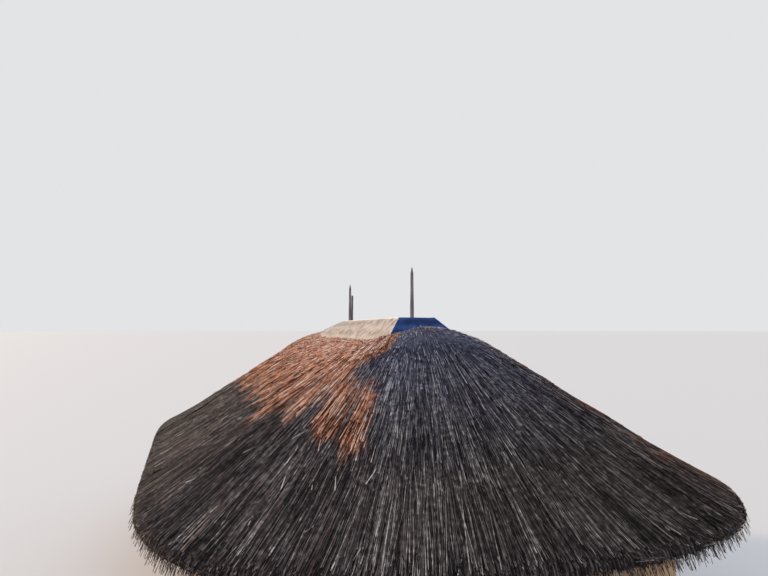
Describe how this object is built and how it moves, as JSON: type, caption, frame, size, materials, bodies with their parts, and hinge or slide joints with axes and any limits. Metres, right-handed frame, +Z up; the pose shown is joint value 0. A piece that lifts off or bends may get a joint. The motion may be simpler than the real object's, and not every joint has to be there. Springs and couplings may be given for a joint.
{
  "type": "oblong thatched rondavel hut",
  "caption": "Oblong round-ended plastered hut with a thick bell-cast grass thatch, pole rafters, tall centre posts through a folded sheet ridge cap, a doorway and small windows.",
  "frame": {"origin": "centre of the footprint at ground level", "axes": "+Z up; +X along the ridge towards the end seen in the picture; the doorway faces +Y"},
  "size_m": [12.55, 8.3, 5.5914],
  "materials": {
    "plaster": "hand-trowelled earth plaster",
    "footing_stone": "rough field stone",
    "floor_screed": "smoothed screed",
    "frame_timber": "oiled and worn",
    "pole_timber": "peeled poles",
    "weathered_pole": "weathered grey-brown",
    "lath_wood": "split laths",
    "grass_thatch": "dry grass stems, aged",
    "cap_sheet": "aged zinc-coated sheet, dusty and dull"
  },
  "bodies": {
    "root": {"near_wall_left": "plaster", "near_wall_front": "plaster", "near_wall_right": "plaster", "far_wall_left": "plaster", "far_wall_back": "plaster", "far_wall_right": "plaster", "left_wall": "plaster", "right_wall_near": "plaster", "right_wall_far": "plaster", "wall_over_door": "plaster", "footing": "footing_stone", "floor_slab": "floor_screed", "door_posts": "frame_timber", "door_lintel": "frame_timber", "door_threshold": "frame_timber", "near_window_frame": "frame_timber", "far_window_frame": "frame_timber", "left_window_frame": "frame_timber", "tie_beams": "frame_timber", "wall_plate": "frame_timber", "ridge_beam": "pole_timber", "crowns": "pole_timber", "near_rafters": "pole_timber", "far_rafters": "pole_timber", "left_rafters": "pole_timber", "right_rafters": "pole_timber", "near_centre_post": "weathered_pole", "far_centre_post": "weathered_pole", "far_stake": "weathered_pole", "end_laths": "lath_wood", "side_laths": "lath_wood", "near_left_thatch": "grass_thatch", "near_right_thatch": "grass_thatch", "far_left_thatch": "grass_thatch", "far_right_thatch": "grass_thatch", "left_thatch": "grass_thatch", "right_thatch": "grass_thatch", "cap_top": "cap_sheet", "cap_left": "cap_sheet", "cap_right": "cap_sheet", "cap_near": "cap_sheet", "cap_far": "cap_sheet"}
  },
  "joints": []
}
